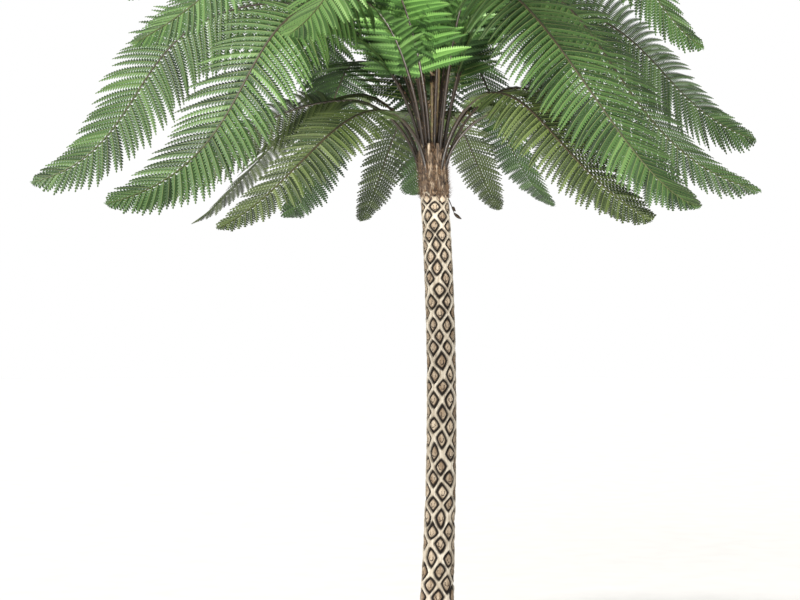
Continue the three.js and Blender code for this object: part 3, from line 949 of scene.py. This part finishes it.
def leaflets(stations, directions, normals, across, length_scale, front):
    """Two rows of folded leaflets along a side rib, that on its front edge first. front is
    the side, 1 or -1, of the direction across it on which the frond's tip lies."""
    count = len(stations) - 1
    middle = (stations[1:] + stations[:-1]) / 2
    along = (directions[1:] + directions[:-1]) / 2
    normal, cross = normals[1:], across[1:]
    share = (np.arange(count) + 0.5) / count
    opening = lerp(0.80, 1, np.minimum(share / 0.12, 1))
    closing = np.maximum(0.02, 1 - share**2.2) ** 0.7
    reach = (LEAFLET_LENGTH * length_scale * np.minimum(opening, closing))[:, None]
    half = np.linalg.norm(stations[1:] - stations[:-1], axis=1)[:, None] / 2
    lean = math.radians(LEAFLET_ANGLE)
    rows = []
    for side in (front, -front):
        axis = math.cos(lean) * side * cross + math.sin(lean) * along
        waist = middle + axis * reach * 0.5 - normal * reach * LEAFLET_FOLD[0]
        corners = [
            middle,
            middle - along * half,
            middle + along * half,
            waist - along * half * LEAFLET_NOTCH[0],
            waist + along * half * LEAFLET_NOTCH[1],
            middle + axis * reach - normal * reach * LEAFLET_FOLD[1],
        ]
        rows.append(np.stack(corners, axis=1))
    vertices = np.concatenate(rows).reshape(-1, 3)
    one = np.array([(0, 1, 3), (0, 3, 5), (0, 5, 4), (0, 4, 2)])
    first = one[None] + 6 * np.arange(count)[:, None, None]
    second = one[:, ::-1][None] + 6 * np.arange(count, 2 * count)[:, None, None]
    return vertices, np.concatenate([first, second]).reshape(-1, 3)


def side_ribs(rng, tier, frond, points, length, tone):
    """The side ribs of a frond and their leaflets, and the green of every leaflet's faces, each front row a
    step lighter than its rear row as painted light and shade.
    """
    roll, half_width = frond[-2:]
    start, first_length = tier["blade"]
    share = np.linspace(0, 1, STALK_STEPS)
    lines = (points, *rib_frames(points, roll, share, start))
    turned = 1 - smoothstep(math.sin(math.radians(frond[0])), 0.4, 0.8)
    count = int(length * (1 - start - FIRST_RIB) / SIDE_RIB_PITCH)
    rib_parts, leaf_parts, painted_light_row_tones = [], [], []
    for i in range(count):
        place = lerp(start + FIRST_RIB, LAST_RIB, (i + 0.5) / count)
        for side in (1, -1):
            here = min(place + side * 0.25 / count, LAST_RIB)
            foot, forward, sideways, upward = [points_at(here, share, line) for line in lines]
            reach = half_width * float(blade_outline(here, start, first_length))
            reach *= rng.uniform(*SIDE_RIB_REACH)
            if reach < SHORTEST_RIB:
                continue
            droop = math.radians(BLADE_DROOP + rng.uniform(-4, 4))
            out = side * sideways * math.cos(droop) - upward * math.sin(droop)
            outer = max(0, (here - BLADE_FULL) / (1 - BLADE_FULL))
            lean = math.radians(lerp(*SIDE_RIB_LEAN, outer**2) + rng.uniform(-3, 3))
            first = out * math.cos(lean) + forward * math.sin(lean)
            sag = SAG * reach * rng.uniform(0.8, 1.2)
            tilt = math.radians(turned * tier["tilt"] + rng.uniform(-8, 8))
            stations, directions, normals, across = side_rib(foot, first, forward, upward, reach, sag, tilt)
            ridge_width = lerp(SIDE_RIB_WIDTH, SIDE_RIB_WIDTH / 2, here)
            vertices, faces = side_rib_ridge(stations, normals, across, ridge_width)
            rib_parts.append((vertices, faces[:, ::side]))
            blades = leaflets(stations, directions, normals, across, rng.uniform(0.94, 1.06), side)
            leaf_parts.append(blades)
            shade = int(np.clip(round(tone + rng.gauss(0, TONE_SPREAD)), 0, 2))
            # painted light and shade: the front row, on top, one green lighter than the rear row beneath
            painted_light_row_tones.append(np.repeat([shade + 1, shade], len(blades[1]) // 2))
    return rib_parts, leaf_parts, np.concatenate(painted_light_row_tones)


def build_frond(tier_name, tier, number, frond, stalk_materials, leaf_materials):
    rng = random.Random(f"{tier_name} {number}")
    points, length = rib_line(tier, frond, STALK_STEPS)
    share = np.linspace(0, 1, STALK_STEPS)
    _, left, above = rib_frames(points, frond[-2], share, tier["blade"][0])
    stalk_vertices, stalk_faces = stalk_tube(points, left, above, share)
    tone = rng.uniform(*FROND_TONES)
    rib_parts, leaf_parts, row_tones_with_painted_light = side_ribs(rng, tier, frond, points, length, tone)

    name = f"frond_{tier_name}_{number}"
    nodes = [f"{name}_arch", f"{name}_fall"]
    vertices, faces = joined(leaf_parts)
    blade = make_piece(f"{name}_leaflets", vertices, faces, leaf_materials, nodes, smooth=False)
    blade.data.polygons.foreach_set("material_index", row_tones_with_painted_light.astype(np.int32))

    vertices, faces = joined([(stalk_vertices, stalk_faces), *rib_parts])
    stalk = make_piece(f"{name}_stalk", vertices, faces, stalk_materials, nodes)
    is_rib = np.arange(len(faces)) >= len(stalk_faces)
    stalk.data.polygons.foreach_set("material_index", is_rib.astype(np.int32))
    shares = np.ones(len(vertices))
    shares[: len(stalk_vertices)] = np.repeat(share, STALK_SIDES)
    set_attribute(stalk, "share", shares)
    ring, turn = ring_and_side(faces, STALK_SIDES)
    across = np.where(is_rib[:, None], 0.9, 0.02 + 0.4 * turn / STALK_SIDES)
    along = np.where(is_rib[:, None], 0.9, 0.02 + 0.96 * ring / (STALK_STEPS - 1))
    set_unrolled(stalk, across.ravel(), along.ravel())
    return points, share


def stalk_scales(draw, points, share):
    """The chaff on the lower end of one stalk."""
    where = STALK_CHAFF_END * draw.uniform(0, 1, STALK_CHAFF) ** 1.5
    roots = points_at(where, share, points)
    outward = outward_at(draw.uniform(0, 2 * np.pi, STALK_CHAFF))
    directions = unit(0.8 * outward + (0, 0, 0.8) + draw.normal(0, 0.3, (STALK_CHAFF, 3)))
    roots = roots + outward * STALK_RADIUS * 0.7
    lengths = draw.uniform(*STALK_CHAFF_LENGTH, STALK_CHAFF)
    return scales(roots, directions, outward, lengths, STALK_CHAFF_WIDTH)


def build_fronds():
    stalk_materials = [stalk_finish(), plain_finish("side_rib", SIDE_RIB_GREEN, 0.5)]
    draw = np.random.default_rng(53)
    parts = []
    for tier_name, tier in TIERS.items():
        greens = enumerate(LEAF_GREENS[tier_name], 1)
        leaf_materials = [plain_finish(f"leaf_{tier_name}_{i}", green, 0.5) for i, green in greens]
        for number, frond in enumerate(tier["fronds"], 1):
            points, share = build_frond(tier_name, tier, number, frond, stalk_materials, leaf_materials)
            parts.append(stalk_scales(draw, points, share))
    vertices, faces = joined(parts)
    chaff = bpy.data.materials["chaff"]
    make_piece("stalk_chaff", vertices, faces, [chaff], smooth=False)


build_fronds()


# ================================================================ coiled young fronds
# Three fronds have only just left the heart. Each is a fat furry stalk rolled up at its
# end like the scroll of a fiddle.

CROZIERS = [(28, 0.660), (148, 0.420), (262, 0.540)]  # azimuth and the coil's level
CROZIER_SEAT = (0.018, 0.090)
CROZIER_LEAN = 0.048
CROZIER_RADIUS = 0.011
COIL_RADIUS = 0.038
COIL_TURNS = 1.4
COIL_END = 0.28  # of the coil's radius, at its innermost end
CROZIER_STEPS = 16
COIL_STEPS = 40
CROZIER_FUR = 420
FUR_LENGTH = (0.006, 0.015)
FUR_WIDTH = 0.0022
CROZIER_COLOURS = [
    (0.35, (0.034, 0.020, 0.010, 1)),
    (0.55, (0.085, 0.062, 0.024, 1)),
    (0.75, (0.110, 0.125, 0.042, 1)),
]


def crozier_finish():
    """Young stalk: pale green under foxy fur."""
    material, tree, shader = new_material("crozier_stalk")
    grain = stretched_noise(tree, (1, 1, 0.4), 80)
    colour = ramp(tree, grain, *CROZIER_COLOURS)
    bump = add_node(tree, "ShaderNodeBump", {"Height": grain, "Strength": 0.4, "Distance": 0.002})
    tree.links.new(colour, shader.inputs["Base Color"])
    tree.links.new(bump.outputs["Normal"], shader.inputs["Normal"])
    shader.inputs["Roughness"].default_value = 0.6
    return material


def crozier_line(azimuth, coil_height):
    """Points up the stalk and round its coil, and the stalk's radius at each."""
    rise = np.linspace(0, 1, CROZIER_STEPS)
    reach = lerp(CROZIER_SEAT[0], CROZIER_LEAN, rise)
    height = lerp(CROZIER_SEAT[1], coil_height, rise)
    turned = np.linspace(0, 1, COIL_STEPS + 1)[1:]
    turn = 2 * np.pi * COIL_TURNS * turned
    size = COIL_RADIUS * lerp(1, COIL_END, turned)
    reach = np.concatenate([reach, CROZIER_LEAN - COIL_RADIUS + size * np.cos(turn)])
    height = np.concatenate([height, coil_height + size * np.sin(turn)])
    line = outward_at(math.radians(azimuth)) * reach[:, None]
    line[:, 2] = HEAD_HEIGHT + height
    thinning = lerp(CROZIER_RADIUS, CROZIER_RADIUS / 2, turned)
    return line, np.concatenate([np.full(CROZIER_STEPS, CROZIER_RADIUS), thinning])


def fur(draw, line, radii):
    """Fine scales all round a stalk, lying towards its end."""
    steps = np.arange(len(line))
    place = draw.uniform(0, 1, CROZIER_FUR) * (len(line) - 1)
    around = unit(draw.normal(0, 1, (CROZIER_FUR, 3)))
    lengthways = points_at(place, steps, unit(np.gradient(line, axis=0)))
    around = unit(around - lengthways * np.sum(around * lengthways, axis=1, keepdims=True))
    depth = np.interp(place, steps, radii) * 0.9
    roots = points_at(place, steps, line) + around * depth[:, None]
    directions = unit(around * 0.7 + lengthways + draw.normal(0, 0.15, (CROZIER_FUR, 3)))
    return scales(roots, directions, around, draw.uniform(*FUR_LENGTH, CROZIER_FUR), FUR_WIDTH)


def build_croziers():
    stalk_material = crozier_finish()
    draw = np.random.default_rng(61)
    for number, (azimuth, coil_height) in enumerate(CROZIERS, 1):
        node = f"crozier_{number}"
        line, radii = crozier_line(azimuth, coil_height)
        vertices, faces = tube(line, radii, 12)
        make_piece(f"{node}_stalk", vertices, faces, [stalk_material], [node])
        vertices, faces = fur(draw, line, radii)
        chaff = bpy.data.materials["chaff"]
        make_piece(f"{node}_fur", vertices, faces, [chaff], smooth=False)


build_croziers()


# ================================================================ ground, light and view
# The tree stands on a plain pale floor under a bright, even sky. Two soft lamps shine from
# the front left, one high and one low, with a panel near the ground that lights the crown
# from beneath. The tree is seen level, from about half its height.

FLOOR_RADIUS = 60
FLOOR_COLOURS = [(0.3, (0.80, 0.80, 0.79, 1)), (0.7, (0.84, 0.84, 0.83, 1))]
SKY_LIGHT = 0.55  # of the white that the sky shows
LAMP_COLOUR = (1.0, 0.97, 0.92)
PANEL_SIZE = 1.6
PANEL_POWER = 80
PANEL_SPREAD = 38
PANEL_PLACE = (0.3, -5.0, 0.8)
PANEL_AIM = (0, -0.6, 5.2)
LENS = 90
CAMERA_PLACE = (-0.229, -14.0, 2.905)


def build_stage():
    bpy.ops.mesh.primitive_circle_add(vertices=96, radius=FLOOR_RADIUS, fill_type="NGON")
    floor = bpy.context.object
    floor.name = "floor"
    material, tree, shader = new_material("floor")
    grain = stretched_noise(tree, (1, 1, 1), 3)
    tree.links.new(ramp(tree, grain, *FLOOR_COLOURS), shader.inputs["Base Color"])
    shader.inputs["Roughness"].default_value = 0.9
    floor.data.materials.append(material)

    world = bpy.data.worlds.new("sky")
    world.use_nodes = True
    tree = world.node_tree
    seen = add_node(tree, "ShaderNodeLightPath").outputs["Is Camera Ray"]
    strength = add_node(tree, "ShaderNodeMapRange", {"Value": seen, "To Min": SKY_LIGHT, "To Max": 1.0})
    sky = tree.nodes["Background"]
    sky.inputs["Color"].default_value = WHITE
    tree.links.new(strength.outputs["Result"], sky.inputs["Strength"])
    bpy.context.scene.world = world
    bpy.context.scene.view_settings.view_transform = "Standard"

    add_lamp("key", energy=2.6, softness=14, tip=40, turn=-34)
    add_lamp("fill", energy=1.6, softness=30, tip=74, turn=-20)
    add_reflector()


def add_lamp(name, energy, softness, tip, turn):
    """A lamp far off, tipped from overhead towards the camera's side and turned about the
    tree, in degrees."""
    lamp = bpy.data.lights.new(name, "SUN")
    lamp.energy = energy
    lamp.angle = math.radians(softness)
    lamp.color = LAMP_COLOUR
    holder = bpy.data.objects.new(name, lamp)
    holder.rotation_euler = (math.radians(tip), 0, math.radians(turn))
    bpy.context.collection.objects.link(holder)


def add_reflector():
    """A soft panel low in front of the tree, which lights the fronds from beneath."""
    panel = bpy.data.lights.new("reflector", "AREA")
    panel.size = PANEL_SIZE
    panel.energy = PANEL_POWER
    panel.spread = math.radians(PANEL_SPREAD)
    panel.color = LAMP_COLOUR
    holder = bpy.data.objects.new("reflector", panel)
    holder.location = PANEL_PLACE
    aim = Vector(PANEL_AIM) - holder.location
    holder.rotation_euler = aim.to_track_quat("-Z", "Y").to_euler()
    holder.visible_camera = False
    bpy.context.collection.objects.link(holder)


def build_camera():
    lens = bpy.data.cameras.new("camera")
    lens.sensor_width = 36
    lens.lens = LENS
    camera = bpy.data.objects.new("camera", lens)
    camera.location = CAMERA_PLACE
    camera.rotation_euler = (math.radians(90), 0, 0)
    bpy.context.collection.objects.link(camera)
    bpy.context.scene.camera = camera


build_stage()
build_camera()
